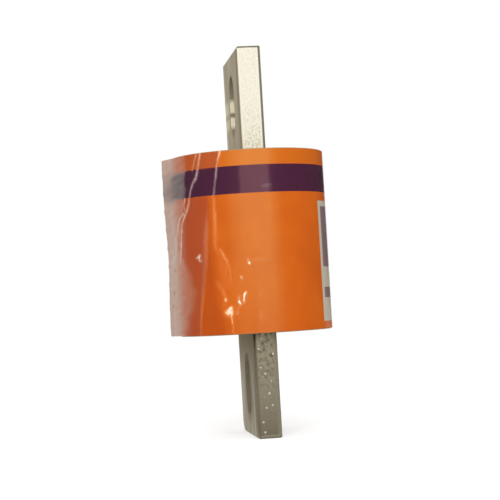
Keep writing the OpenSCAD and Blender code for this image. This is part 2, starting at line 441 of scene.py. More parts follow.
def tinPlate(node):
    # Tin plate on copper bar: pale warm grey, satin, with a soft mottle from the plating bath
    finish = bladeFinish[node]
    shape = bladeShape
    material, tree, surface, spot = newMaterial(node.replace("_", " ") + " tin plate", {})
    place = addNode(tree, "SeparateXYZ", None, {0: spot})
    facing = addNode(tree, "SeparateXYZ", None, {0: spot.node.outputs["Normal"]})
    sideways = addNode(tree, "Math", unsigned, {0: facing.outputs["Y"]})
    wide = addNode(tree, "MapRange", softStep, {"Value": sideways, **span(0.7, 0.96)})
    notWide = addNode(tree, "Math", minus, {0: 1.0, 1: wide})
    away = addNode(tree, "Math", unsigned, {0: place.outputs["Z"]})
    fromBody = addNode(tree, "Math", minus, {0: away, 1: tubeTop})

    # distance from the slot's outline, negative inside it
    alongSlot = apart(tree, away, shape["slotMiddle"] * mm)
    pastStraight = addNode(tree, "Math", minus, {0: alongSlot, 1: shape["slotHalfStraight"] * mm})
    roundEnd = addNode(tree, "Math", larger, {0: pastStraight, 1: 0.0})
    slotPlace = addNode(tree, "CombineXYZ", None, {0: place.outputs["X"], 1: roundEnd})
    slotReach = addNode(tree, "VectorMath", {"operation": "LENGTH"}, {0: slotPlace})
    fromSlot = addNode(tree, "Math", minus, {0: slotReach.outputs["Value"], 1: shape["slotHalfWidth"] * mm})

    # two runs along the slot that get a painted highlight
    fromGap = apart(tree, fromBody, finish["slotHighlightGap"] * mm)
    outsideGap = addNode(tree, "MapRange", softStep, {
        "Value": fromGap, **span(*inMetres(shape["gapSoft"]))})
    run = between(tree, fromBody, finish["slotHighlightFrom"] * mm, finish["slotHighlightTo"] * mm,
                  shape["slotHighlightSoft"] * mm)
    slotHighlight = addNode(tree, "Math", times, {0: run, 1: outsideGap})

    # wide face: fine rolling lines, and broader bands where the tin ran thicker
    lines = streaks(tree, spot, *shape["streak"], {"Detail": 3.0, "Roughness": 0.6})
    rolled = addNode(tree, "ValToRGB", {"stops": [
        (0.35, finish["wideStreak"]), (0.62, finish["wideFace"])]}, {0: lines})
    broad = streaks(tree, spot, *shape["band"], {"Detail": 2.0})
    bands = addNode(tree, "MapRange", softStep, {
        "Value": broad, **span(0.42, 0.62, 0.0, finish["bandDark"])})

    # painted shade: darker towards the body, round the slot and along the near corner
    bodyShade = addNode(tree, "MapRange", softStep, {
        "Value": fromBody, **span(0.0, finish["bodyShadeReach"] * mm, finish["bodyShade"], 0.0)})
    slotShade = addNode(tree, "MapRange", softStep, {
        "Value": fromSlot, **span(0.0, finish["slotShade"] * mm, finish["slotShadeStrength"], 0.0)})
    shadeStart, shadeEnd = inMetres(shape["cornerShade"])
    cornerShade = addNode(tree, "MapRange", softStep, {
        "Value": place.outputs["X"],
        **span(shadeStart - bladeHalfWidth, shadeEnd - bladeHalfWidth, shape["cornerCover"], 0.0)})
    bandsAndShade = bands
    for cause in (bodyShade, slotShade, cornerShade):
        bandsAndShade = addNode(tree, "Math", larger, {0: bandsAndShade, 1: cause})
    blotch = addNode(tree, "MapRange", None, {"Value": lines, **span(0.35, 0.65, 0.75, 1.1)})
    bandsAndShadeUneven = addNode(tree, "Math", times, {0: bandsAndShade, 1: blotch})
    wideTone = addNode(tree, "Mix", colourMix, {
        0: bandsAndShadeUneven, 6: rolled, 7: linear(finish["wideStreak"])})
    darkGlance = addNode(tree, "Mix", colourMix, {
        0: bandsAndShadeUneven, 6: linear(finish["glance"]), 7: linear(finish["glanceDark"])})
    # painted highlight on the wide face beyond the slot's far side, in the same runs
    farSide = addNode(tree, "MapRange", softStep, {
        "Value": place.outputs["X"], **span(*inMetres(shape["farHighlightFrom"]), 0.0, finish["farHighlight"])})
    farHighlight = addNode(tree, "Math", times, {0: farSide, 1: slotHighlight})
    glance = addNode(tree, "Mix", colourMix, {
        0: farHighlight, 6: darkGlance.outputs[2], 7: linear(finish["slotHighlight"])})

    # mottle of the sheared edge, stronger towards the body, and the strip beside its corner
    mottle = addNode(tree, "TexNoise", None, {
        "Vector": spot, "Scale": perMm(finish["mottleSize"]), "Detail": 4.0, "Roughness": 0.6})
    nearBody = addNode(tree, "MapRange", None, {
        "Value": fromBody, **span(0.0, finish["mottleReach"] * mm, 1.0, shape["mottleAtTip"])})
    patches = addNode(tree, "MapRange", softStep, {"Value": mottle, **span(0.42, 0.7)})
    mottleAmount = addNode(tree, "Math", times, {0: patches, 1: nearBody})
    # the lower blade's sheared edge darkens towards the tip: painted shade
    towardsTip = addNode(tree, "MapRange", None, {
        "Value": fromBody, **span(*inMetres(shape["tipFrom"]), 0.0, finish["tipShade"])})
    darkShare = addNode(tree, "Math", larger, {0: mottleAmount, 1: towardsTip})
    thinTone = addNode(tree, "Mix", colourMix, {
        0: darkShare, 6: linear(finish["thinFace"]), 7: linear(finish["thinMottle"])})
    stripEdge = shape["stripWidth"] * mm - bladeHalfThickness
    stripSoft = shape["stripSoft"] * mm
    strip = addNode(tree, "MapRange", softStep, {
        "Value": place.outputs["Y"],
        **span(stripEdge - stripSoft, stripEdge + stripSoft, shape["stripCover"], 0.0)})
    stripped = addNode(tree, "Mix", colourMix, {
        0: strip, 6: thinTone.outputs[2], 7: linear(finish["thinStrip"])})

    # painted glints: bright specks where the lumpy plating catches the light, near the body and in a row
    # across the bar
    cells = addNode(tree, "TexVoronoi", None, {
        "Vector": spot, "Scale": perMm(shape["glintSpeckPitch"]), "Randomness": 1.0})
    chosen = addNode(tree, "SeparateColor", None, {0: cells.outputs["Color"]})
    fromRow = apart(tree, fromBody, finish["glintSpeckRow"] * mm)
    nearest = addNode(tree, "Math", smaller, {0: fromRow, 1: fromBody})
    share = addNode(tree, "MapRange", None, {
        "Value": nearest,
        **span(*inMetres(shape["glintSpeckFade"]), shape["glintSpeckNearShare"] * finish["glintSpeckShare"],
               shape["glintSpeckFarShare"] * finish["glintSpeckShare"])})
    rare = addNode(tree, "Math", {"operation": "LESS_THAN"}, {0: chosen, 1: share})
    core, rim = shape["speckSize"]
    near = addNode(tree, "MapRange", None, {
        "Value": cells.outputs["Distance"], **span(core, rim, 1.0, 0.0)})
    glintSpeckAmount = addNode(tree, "Math", times, {0: rare, 1: near})
    thinGlinted = addNode(tree, "Mix", colourMix, {
        0: glintSpeckAmount, 6: stripped.outputs[2], 7: linear(shape["speck"])})
    faceTone = addNode(tree, "Mix", colourMix, {0: wide, 6: thinGlinted.outputs[2], 7: wideTone.outputs[2]})

    # painted highlight and shade on the rounded long edges: one tone on the +Y side and another on the back
    past = []
    for axis, half in (("X", bladeHalfWidth), ("Y", bladeHalfThickness)):
        along = addNode(tree, "Math", unsigned, {0: place.outputs[axis]})
        past.append(addNode(tree, "Math", minus, {0: along, 1: half - shape["edgeRadius"] * mm}))
    inRound = addNode(tree, "Math", smaller, {0: past[0], 1: past[1]})
    roundAmount = addNode(tree, "MapRange", softStep, {
        "Value": inRound, **span(*inMetres(shape["edgeSoft"]))})
    roundPart = addNode(tree, "Math", times, {0: roundAmount, 1: notWide})
    onFront = addNode(tree, "Math", {"operation": "GREATER_THAN"}, {0: place.outputs["Y"], 1: 0.0})
    edgeShading = addNode(tree, "Mix", colourMix, {
        0: onFront, 6: linear(finish["backEdgeShade"]), 7: linear(finish["frontEdgeShading"])})
    rounded = addNode(tree, "Mix", colourMix, {
        0: roundPart, 6: faceTone.outputs[2], 7: edgeShading.outputs[2]})

    # a line of painted shade goes round the tip's edge
    lineTop = bladeTip - shape["tipLineInset"] * mm
    tipRim = between(tree, away, lineTop - shape["tipLine"] * mm, lineTop, 0.1 * mm)
    rimPart = addNode(tree, "Math", times, {0: tipRim, 1: notWide})
    edged = addNode(tree, "Mix", colourMix, {
        0: rimPart, 6: rounded.outputs[2], 7: linear(finish["backEdgeShade"])})

    # painted shade on the slot's wall, and a painted highlight along the two runs
    wallTone = addNode(tree, "Mix", colourMix, {
        0: slotHighlight, 6: linear(finish["slotWall"]), 7: linear(finish["slotHighlight"])})
    inSlot = addNode(tree, "MapRange", None, {
        "Value": fromSlot, **span(*inMetres(shape["slotWallDepth"]), 1.0, 0.0)})
    slotWall = addNode(tree, "Math", times, {0: inSlot, 1: notWide})
    tone = addNode(tree, "Mix", colourMix, {0: slotWall, 6: edged.outputs[2], 7: wallTone.outputs[2]})

    # the slot's wall, the rounded edges and the tip are oxidised and matt, the rest stays bare metal
    dullStart, dullEnd = inMetres(shape["tipDull"])
    atTip = addNode(tree, "MapRange", None, {
        "Value": away, **span(bladeTip - dullStart, bladeTip - dullEnd)})
    tipPart = addNode(tree, "Math", times, {0: atTip, 1: notWide})
    edges = addNode(tree, "Math", larger, {0: tipPart, 1: roundPart})
    matt = addNode(tree, "Math", larger, {0: slotWall, 1: edges})
    bare = addNode(tree, "MapRange", None, {"Value": wide, "To Min": shape["thinMetal"], "To Max": 1.0})
    metal = addNode(tree, "Mix", valueMix, {0: matt, 2: bare, 3: shape["dullMetal"]})
    sheen = addNode(tree, "MapRange", None, {
        "Value": mottleAmount, "To Min": finish["roughness"] - 0.03, "To Max": finish["roughness"] + 0.05})
    satin = addNode(tree, "Mix", valueMix, {0: wide, 2: sheen, 3: shape["wideRoughness"]})
    rough = addNode(tree, "Mix", valueMix, {0: matt, 2: satin, 3: shape["dullRoughness"]})
    relief = addNode(tree, "Mix", valueMix, {0: wide, 2: mottleAmount, 3: lines})
    bump = addNode(tree, "Bump", None, {"Height": relief, "Strength": 0.12, "Distance": 0.05 * mm})
    connect(tree, surface, {
        "Base Color": tone.outputs[2], "Metallic": metal, "Roughness": rough,
        "Specular Tint": glance.outputs[2], "Normal": bump})
    return material


for bladeNode in ("upper_blade", "lower_blade"):
    finishedCopy(bladeNode, tinPlate(bladeNode))
print("blades finished")


# Tube, end blocks and plug

tubeFinish = {
    "resin": "9c7748",
    "cloth": "b8966a",
    "layerPitch": 0.25,
    "weavePitch": 0.6,
}


def glassLaminate():
    # Glass-melamine tube: sanded amber resin, whose wound cloth layers show as rings on the end
    material, tree, surface, spot = newMaterial("glass melamine laminate", {"Roughness": 0.55, "IOR": 1.55})
    # one ring about Z for each layer of cloth
    rings = addNode(tree, "TexWave", {"wave_type": "RINGS", "rings_direction": "Z"}, {
        "Vector": spot, "Scale": perMm(tubeFinish["layerPitch"]) / (2 * math.pi),
        "Distortion": 1.2, "Detail": 2.0})
    fibres = addNode(tree, "TexNoise", None, {
        "Vector": spot, "Scale": perMm(tubeFinish["weavePitch"]), "Detail": 4.0})
    both = addNode(tree, "Math", times, {0: rings.outputs["Fac"], 1: fibres})
    tone = addNode(tree, "ValToRGB", {"stops": [(0.1, tubeFinish["resin"]), (0.6, tubeFinish["cloth"])]},
                   {0: both})
    bump = addNode(tree, "Bump", None, {"Height": both, "Strength": 0.4, "Distance": 0.03 * mm})
    connect(tree, surface, {"Base Color": tone, "Normal": bump})
    return material


brassFinish = {
    "clean": "c2a56a",
    "tarnished": "94793f",
    "toolPitch": 0.35,
    "stainSize": 9,
    "roughness": 0.34,
}


def turnedBrass():
    # Brass end block: faced in a lathe, so fine rings, with brown tarnish in patches
    material, tree, surface, spot = newMaterial("turned brass", {"Metallic": 1.0})
    rings = addNode(tree, "TexWave", {"wave_type": "RINGS", "rings_direction": "Z"}, {
        "Vector": spot, "Scale": perMm(brassFinish["toolPitch"]) / (2 * math.pi), "Distortion": 0.3})
    stain = addNode(tree, "TexNoise", None, {
        "Vector": spot, "Scale": perMm(brassFinish["stainSize"]), "Detail": 6.0})
    tone = addNode(tree, "ValToRGB", {"stops": [
        (0.36, brassFinish["tarnished"]), (0.66, brassFinish["clean"])]}, {0: stain})
    dull = addNode(tree, "MapRange", None, {
        "Value": stain, **span(0.3, 0.7, brassFinish["roughness"] + 0.14, brassFinish["roughness"])})
    bump = addNode(tree, "Bump", None, {
        "Height": rings.outputs["Fac"], "Strength": 0.3, "Distance": 0.02 * mm})
    connect(tree, surface, {"Base Color": tone, "Roughness": dull, "Normal": bump})
    return material


laminate = glassLaminate()
brass = turnedBrass()
finishedCopy("tube", laminate)
for blockNode in ("upper_end_block", "lower_end_block", "filler_plug"):
    finishedCopy(blockNode, brass)
print("tube and end blocks finished")


# Pieces inside: drive pins, strips and sand keep their CAD meshes

innerFinish = {
    "steel": [(0.3, "7d7f82"), (0.7, "a6a7a8")],
    "scratchSize": 0.4,
    "silver": [(0.3, "d6d3cb"), (0.7, "efece6")],
    "rollingLine": (0.3, 20),
    "sand": [(0.0, "d8cfba"), (1.0, "f3efe6")],
    "grainSize": 0.4,
    "grainDepth": 0.15,
}


def drawnSteel():
    # Drawn steel pin: grey, with fine scratches
    material, tree, surface, spot = newMaterial("drawn steel", {"Metallic": 1.0, "Roughness": 0.35})
    scratches = addNode(tree, "TexNoise", None, {
        "Vector": spot, "Scale": perMm(innerFinish["scratchSize"]), "Detail": 5.0})
    tone = addNode(tree, "ValToRGB", {"stops": innerFinish["steel"]}, {0: scratches})
    connect(tree, surface, {"Base Color": tone})
    return material


def rolledSilver():
    # Rolled silver strip: bright and slightly warm, with faint rolling lines
    material, tree, surface, spot = newMaterial("rolled silver", {"Metallic": 1.0, "Roughness": 0.2})
    lines = streaks(tree, spot, *innerFinish["rollingLine"], {"Detail": 3.0})
    tone = addNode(tree, "ValToRGB", {"stops": innerFinish["silver"]}, {0: lines})
    connect(tree, surface, {"Base Color": tone})
    return material


def packedSand():
    # Quartz sand, 0.4 mm grains packed hard: off-white, matt, every grain a little different
    material, tree, surface, spot = newMaterial("packed quartz sand", {"Roughness": 0.85, "IOR": 1.54})
    grains = addNode(tree, "TexVoronoi", None, {"Vector": spot, "Scale": perMm(innerFinish["grainSize"])})
    shade = addNode(tree, "SeparateColor", None, {0: grains.outputs["Color"]})
    tone = addNode(tree, "ValToRGB", {"stops": innerFinish["sand"]}, {0: shade})
    bump = addNode(tree, "Bump", {"invert": True}, {
        "Height": grains.outputs["Distance"], "Strength": 0.6, "Distance": innerFinish["grainDepth"] * mm})
    connect(tree, surface, {"Base Color": tone, "Normal": bump})
    return material


def dress(node, material):
    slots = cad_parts[node].data.materials
    slots.clear()
    slots.append(material)


steel = drawnSteel()
silver = rolledSilver()
sand = packedSand()
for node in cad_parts:
    if "_pin_" in node:
        dress(node, steel)
    elif node.startswith("element_"):
        dress(node, silver)
dress("quartz_filler", sand)
print("inner pieces dressed")


# Label: printed sheet wrapped round the tube. Its print sizes are those of the part's label, in mm.

labelPrint = {
    "sheet": 0.2,
    "seamAngle": 35,
    "seamGap": 0.6,
    "bandDrop": 6.2,
    "bandHeight": 11.1,
    "panelDrop": 20.9,
    "panelFoot": 3.0,
    "panelAngle": 72,
    "frameWidth": 2.2,
    "blockHeight": 24.7,
    "gapHeight": 8.3,
    "barHeight": 4.3,
    "orange": "df660a",
    "orangeDeep": "d75d05",
    "orangeTopSheen": "dc6c0e",
    "band": "48233a",
    "panelGround": "cec4b0",
    "panelBlock": "8a7072",
    "sheenOnOrange": "b4ffc0",
    "sheenOnBand": "ffc4cc",
    "sheenOffBand": "705e5e",
    "sheenOnPanel": "f4ecdc",
    "sheenStripFrom": -103.5,
    "sheenStripTo": -81.5,
    "sheenLevel": 1.0,
    "roughness": 0.22,
    "inkSoft": 0.08,
    "sheenStripSoft": 1.5,
    "blotchSize": 14,
    "dimpleSize": 5,
    "rows": 36,
    "step": 1.5,
    "sharpOver": 40,
}
labelRadius = tubeRadius + labelPrint["sheet"] * mm


def makeLabel():
    halfGap = math.degrees(labelPrint["seamGap"] * mm / labelRadius) / 2
    start = math.radians(labelPrint["seamAngle"] + halfGap)
    turn = 360 - 2 * halfGap
    rows = labelPrint["rows"]
    bm = bmesh.new()
    across = (tubeRadius * math.cos(start), tubeRadius * math.sin(start))
    column = [bm.verts.new((*across, -labelTop + 2 * labelTop * i / rows)) for i in range(rows + 1)]
    edges = [bm.edges.new(pair) for pair in zip(column, column[1:])]
    bmesh.ops.spin(bm, geom=column + edges, angle=math.radians(turn),
                   steps=round(turn / labelPrint["step"]), **aroundAxis)
    mesh = thickSheet(bm, "printed_label", -labelPrint["sheet"])
    mesh.set_sharp_from_angle(angle=math.radians(labelPrint["sharpOver"]))
    return addObject("printed_label", mesh)


def printedVinyl():
    # Printed vinyl under clear lacquer: flat strong ink with a soft gloss, ink slightly uneven
    ink = {name: linear(value) for name, value in labelPrint.items() if isinstance(value, str)}
    material, tree, surface, spot = newMaterial("printed vinyl label", {
        "Roughness": labelPrint["roughness"], "IOR": 1.55, "Specular IOR Level": labelPrint["sheenLevel"]})
    place = addNode(tree, "SeparateXYZ", None, {0: spot})
    height = place.outputs["Z"]
    # arc length from the panel's middle line, which faces -Y
    forward = addNode(tree, "Math", times, {0: place.outputs["Y"], 1: -1.0})
    angle = addNode(tree, "Math", {"operation": "ARCTAN2"}, {0: place.outputs["X"], 1: forward})
    arc = addNode(tree, "Math", times, {0: angle, 1: labelRadius})
    soft = labelPrint["inkSoft"] * mm

    blotch = addNode(tree, "TexNoise", None, {
        "Vector": spot, "Scale": perMm(labelPrint["blotchSize"]), "Detail": 5.0, "Roughness": 0.6})
    orange = addNode(tree, "ValToRGB", {"stops": [
        (0.35, labelPrint["orangeDeep"]), (0.65, labelPrint["orange"])]}, {0: blotch})

    bandTop = labelTop - labelPrint["bandDrop"] * mm
    band = between(tree, height, bandTop - labelPrint["bandHeight"] * mm, bandTop, soft)
    # the orange above the band is a little yellower: painted sheen
    aboveBand = addNode(tree, "MapRange", None, {
        "Value": height, **span(bandTop, bandTop + soft, 0.0, 0.8)})

    panelHalf = math.radians(labelPrint["panelAngle"] / 2) * labelRadius
    inner = panelHalf - labelPrint["frameWidth"] * mm
    panelTop = labelTop - labelPrint["panelDrop"] * mm
    panelBottom = -labelTop + labelPrint["panelFoot"] * mm
    blockTop = panelTop - labelPrint["frameWidth"] * mm
    blockFoot = blockTop - labelPrint["blockHeight"] * mm
    barTop = blockFoot - labelPrint["gapHeight"] * mm
    panelWide = between(tree, arc, -panelHalf, panelHalf, soft)
    innerWide = between(tree, arc, -inner, inner, soft)
    panelTall = between(tree, height, panelBottom, panelTop, soft)
    blockTall = between(tree, height, blockFoot, blockTop, soft)
    barTall = between(tree, height, barTop - labelPrint["barHeight"] * mm, barTop, soft)
    ground = addNode(tree, "Math", times, {0: panelWide, 1: panelTall})
    darkTall = addNode(tree, "Math", larger, {0: blockTall, 1: barTall})
    dark = addNode(tree, "Math", times, {0: innerWide, 1: darkTall})

    printed = orange.outputs[0]
    for cover, name in ((aboveBand, "orangeTopSheen"), (band, "band"), (ground, "panelGround"),
                        (dark, "panelBlock")):
        printed = addNode(tree, "Mix", colourMix, {0: cover, 6: printed, 7: ink[name]}).outputs[2]

    # painted sheen: the band's gloss colour is strongest in one strip of arc, so its highlight shows only
    # there
    sheenStrip = between(tree, angle, math.radians(labelPrint["sheenStripFrom"]),
                    math.radians(labelPrint["sheenStripTo"]), math.radians(labelPrint["sheenStripSoft"]))
    bandSheen = addNode(tree, "Mix", colourMix, {
        0: sheenStrip, 6: ink["sheenOffBand"], 7: ink["sheenOnBand"]})
    inkSheen = addNode(tree, "Mix", colourMix, {
        0: band, 6: ink["sheenOnOrange"], 7: bandSheen.outputs[2]})
    sheen = addNode(tree, "Mix", colourMix, {
        0: ground, 6: inkSheen.outputs[2], 7: ink["sheenOnPanel"]})

    # the lacquer's slight orange peel
    dimples = addNode(tree, "TexNoise", None, {
        "Vector": spot, "Scale": perMm(labelPrint["dimpleSize"]), "Detail": 3.0})
    bump = addNode(tree, "Bump", None, {"Height": dimples, "Strength": 0.25, "Distance": 0.05 * mm})
    connect(tree, surface, {"Base Color": printed, "Specular Tint": sheen.outputs[2], "Normal": bump})
    return material


label = makeLabel()
label.data.materials.append(printedVinyl())
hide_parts("label")
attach(label, "root")
print("label made")


# Clear film over the label. It is loose on the left flank, where it stands off in a fold and is hazy,
# and it is creased on the way to the tight part. Places are degrees from +X and mm of height.

film = {
    "thickness": 0.1,
    "foldAngle": 86,
    "foldOut": 3.7,
    "foldWaist": 0.7,
    "waistHeight": -5,
    "waistReach": 16,
    "ridgeRadius": 1.5,
    "fineFrom": 84,
    "fineTo": 176,
    "fineStep": 0.45,
    "coarseStep": 5,
    "rows": 150,
    "creaseLift": 0.12,
    "looseWave": 0.12,
    "plainEnd": 1,
    "mergeWithin": 0.01,
    "red": "a03e2b",
    "redCover": 0.6,
    "deepOrange": "b54200",
    "deepCover": 0.55,
    "haze": "c2a594",
    "hazeWarm": "c48a6e",
    "hazeShade": "766664",
    "glints": [(0.0, "ff9650"), (0.5, "ffa05c"), (0.64, "ffb880"), (0.76, "ffcfa0"), (0.87, "fff4dc")],
    "glintInHaze": "dcc2b0",
    "glintInBand": "dcbcb6",
    "speck": "7c6056",
    "roughness": 0.3,
    "veil": (2.5, 16),
    "crinkleSize": 1.4,
    "hazeCover": 0.93,
    "hazeThinner": (0.4, 0.05),
    "hazeThins": (97, 114),
    "lowHaze": (4, 14),
    "hazeInBand": 0.9,
    "hazeWave": (0.7, 0.9),
    "warmFrom": (95, 110),
    "looseFrom": 60,
    "bandFoot": (18.6, 19.4),
    "bandHead": (29.6, 30.4),
    "bandMiddle": (19, 29.8),
    "bandBlur": (0.5, 2.4),
    "bandClears": (92, 116),
    "bareBand": (0.55, 0.25),
    "bareSplit": (23.5, 26.5),
    "bareTo": (88, 108),
    "redSoft": (0.5, 3.1),
    "redFoot": (-30, -6),
    "redHead": (16, 24),
    "redShift": 0.6,
    "redPaler": 0.15,
    "redPales": (28, 32),
    "milkyRed": 0.85,
    "litFrom": (155, 161),
    "litPaler": 0.48,
    "deepSoft": 0.5,
    "deepFades": (-7, 3),
    "deepTop": (6, 15),
    "speckSize": (0.4, 0.8),
    "clearLeft": 0.99,
    "sharpOver": 60,
}
# where each tint ends, as height and degrees from the top down; the haze also has its softness in mm
filmEdges = {
    "red": [(36.5, 153), (30, 150), (19, 141.6), (11.4, 140.6), (4.8, 139), (-2.4, 137.6), (-8.4, 137),
            (-18, 133.3), (-26, 129.8), (-36.5, 127)],
    "deepLeft": [(13.4, 142), (1.4, 140), (-7.3, 138.8), (-16.4, 135.6), (-24.3, 132.2), (-36.5, 127.7)],
    "deepRight": [(13.4, 142.2), (3.3, 144.2), (-7.6, 145.8), (-14.8, 146.6), (-22.8, 148),
                  (-30, 151.1), (-36.5, 154.3)],
    "haze": [(36.5, 120, 1.5), (31, 121, 1.5), (29.6, 119.4, 1.0), (20, 118.5, 1.0), (17.5, 117, 1.4),
             (14, 115, 1.2), (10.5, 110.5, 0.8), (2.5, 109, 0.8), (-4, 109, 0.8), (-9, 117, 2.6),
             (-18, 124, 3.2), (-24, 122, 3.2), (-30, 115, 3.0), (-36.5, 107, 2.6)],
}
# painted highlights where creases catch the light: degrees, height, half width in mm and strength along
# each
filmCreases = {
    "main": [(153.3, 36.5, 0.55, 1.0), (152.2, 34.4, 0.45, 0.85), (150.9, 32.1, 0.35, 0.5),
             (149.9, 29.8, 0.35, 0.5), (149.1, 26.6, 0.4, 0.6), (147.9, 23.5, 0.35, 0.2),
             (146.2, 18.4, 0.5, 0.4), (146.6, 11.1, 0.8, 0.55), (145.5, -1.6, 0.8, 0.33),
             (147.8, -4.4, 0.6, 0.25)],
    "bend": [(149.2, -2.5, 0.45, 0.6), (150.9, -4.4, 0.6, 0.6), (153.7, -7, 0.5, 0.6),
             (155.6, -10.3, 0.5, 0.4), (156.8, -17.1, 0.5, 0.1)],
    "patch": [(150.4, -7, 2.4, 0.12), (153.4, -16.9, 2.4, 0.12)],
    "arc": [(145.8, -15.8, 1.1, 0.2), (149.9, -19, 0.9, 0.28), (151.2, -22.4, 0.5, 0.45)],
    "tail": [(155, -30.2, 0.45, 1.05), (156, -32.9, 0.4, 0.5), (155.8, -35, 0.4, 0.35),
             (156.1, -36.5, 0.4, 0.3)],
    "overlap": [(139.6, 12, 0.8, 0.05), (139, 6, 1.1, 0.2), (138, 2.2, 1.2, 0.2), (136.6, -6, 1.1, 0.16),
                (134.2, -13, 0.8, 0.12), (131.2, -22.4, 0.7, 0.15), (129.4, -28.3, 0.7, 0.16),
                (127.6, -36.5, 0.6, 0.16)],
    "foldInner": [(133.6, 36.5, 0.4, 0.6), (131.4, 34, 0.35, 0.45), (128.5, 30.1, 0.35, 0.4)],
    "foldOuter": [(137, 36.5, 0.5, 0.75), (135.6, 33.7, 0.5, 0.6), (134.2, 31, 0.5, 0.6),
                  (132.3, 27.5, 0.6, 0.6), (130.3, 26, 0.6, 0.68), (127.4, 24.1, 0.4, 0.58),
                  (125.5, 22.2, 0.4, 0.55), (124, 19.8, 0.4, 0.5), (122.2, 16.3, 0.6, 0.6),
                  (119.2, 13.6, 0.7, 0.58), (115.3, 11.3, 0.7, 0.62), (111.7, 8.6, 0.7, 0.6),
                  (109.6, 2.6, 0.6, 0.75), (107.5, -3.5, 0.6, 0.7), (105.2, -6.7, 0.6, 0.45)],
    "rim": [(103, 6, 0.6, 0.3), (101, 3.6, 0.8, 0.45), (100, 0, 0.9, 0.45), (100, -3, 0.9, 0.45),
            (92, -6.1, 1, 0.3)],
    "nick": [(118.2, 18.9, 0.4, 0.7), (116.4, 16.6, 0.35, 0.4), (117.9, 13.6, 0.35, 0.6)],
    "zigzag": [(115.7, 13.3, 0.4, 0.68), (110, 11.5, 0.4, 0.68), (107.3, 10, 0.45, 0.7),
               (104.5, 8.1, 0.45, 0.7), (105.5, 5.6, 0.5, 0.6)],
    "curl": [(127.8, -5.3, 0.4, 0.6), (130.9, -4.7, 0.7, 1.15), (130.4, -6.6, 0.4, 0.7),
             (132.8, -6.6, 0.4, 0.6)],
    "star": [(150, -27.6, 0.5, 1.0), (153.4, -27.7, 1.45, 1.2), (155.2, -26.3, 1.0, 1.2),
             (155, -29.3, 0.8, 1.05)],
    "dots": [(151.4, -22.5, 0.7, 0.97), (151.5, -23, 0.7, 0.97)],
    "cut": [(148.6, -24.9, 0.3, 0.4), (150.2, -24.9, 0.3, 0.4)],
    "glint": [(153, -10.5, 0.6, 0.35), (152.9, -11.5, 0.6, 0.35)],
    "hook": [(166.7, -20.2, 0.45, 0.9), (165, -21.3, 0.45, 0.85), (165, -24.1, 0.4, 0.6)],
    "crumple": [(161.3, -21.6, 0.6, 0.3), (161.5, -24, 0.6, 0.85), (162.6, -24.7, 0.5, 0.75)],
    "crumpleLine": [(162.2, -25.1, 0.4, 0.3), (157.6, -28.9, 0.4, 0.25)],
    "side": [(159.8, -27.9, 0.4, 0.45), (159.8, -28.5, 0.4, 0.45)],
    "spot": [(163.9, -14, 0.5, 0.7), (164.8, -15, 0.5, 0.4)],
    "farSpot": [(169, -6.4, 0.4, 0.15), (170.5, -8.8, 0.5, 0.85)],
    "farLine": [(174, -7.3, 0.5, 0.2), (178.4, -7.3, 0.5, 0.25), (183.6, -7.7, 0.5, 0.12)],
    "farStreak": [(179.2, -18.6, 0.4, 0.35), (176.6, -20.7, 0.4, 0.25), (174.8, -22, 0.4, 0.1)],
    "lowStreak": [(176.1, -28.2, 0.4, 0.1), (176, -30, 0.4, 0.2), (175.8, -32, 0.4, 0.1)],
    "bandFlaw": [(186.1, 22, 0.5, 0.15), (187.3, 20.8, 0.6, 0.2), (187.3, 19.6, 0.5, 0.15)],
}
filmSpecks = [(104.2, -0.5), (96.3, -9.3), (93.7, -18.7), (91.9, -24)]


def eased(value, low, high):
    # 0 at low, 1 at high, eased between them
    t = np.clip((value - low) / (high - low), 0, 1)
    return t * t * (3 - 2 * t)


def edgeAt(name, height, column=1):
    points = filmEdges[name][::-1]
    return np.interp(height, [p[0] for p in points], [p[column] for p in points])


def foldRadius(angle, height):
    # the film's radius in mm: the tight circle, two tangent walls, and the fold's rounded ridge
    tight = filmRadius / mm
    waist = film["foldWaist"] * np.exp(-((height - film["waistHeight"]) / film["waistReach"]) ** 2)
    ridgeAt = tight + film["foldOut"] - waist - film["ridgeRadius"]
    touch = np.arccos((tight - film["ridgeRadius"]) / ridgeAt)
    off = np.radians(np.abs((angle - film["foldAngle"] + 180) % 360 - 180))
    wall = tight / np.cos(np.clip(touch - off, 0, None))
    reach = ridgeAt * np.sin(off)
    crown = ridgeAt * np.cos(off) + np.sqrt(np.clip(film["ridgeRadius"] ** 2 - reach ** 2, 0, None))
    ridge = (reach < film["ridgeRadius"]) & (off < touch)
    return np.where(ridge, np.minimum(wall, crown), wall)


def creaseLight(arc, height):
    # how strongly each point of the film catches the light of a crease
    light = np.zeros_like(arc)
    toArc = math.radians(1) * filmRadius / mm
    for points in filmCreases.values():
        for (a0, h0, w0, s0), (a1, h1, w1, s1) in zip(points, points[1:]):
            run, drop = (a1 - a0) * toArc, h1 - h0
            share = ((arc - a0 * toArc) * run + (height - h0) * drop) / (run * run + drop * drop)
            share = np.clip(share, 0, 1)
            away = np.hypot(arc - a0 * toArc - share * run, height - h0 - share * drop)
            near = np.exp(-(away / (w0 + (w1 - w0) * share)) ** 2)
            light = np.maximum(light, (s0 + (s1 - s0) * share) * near)
    return light


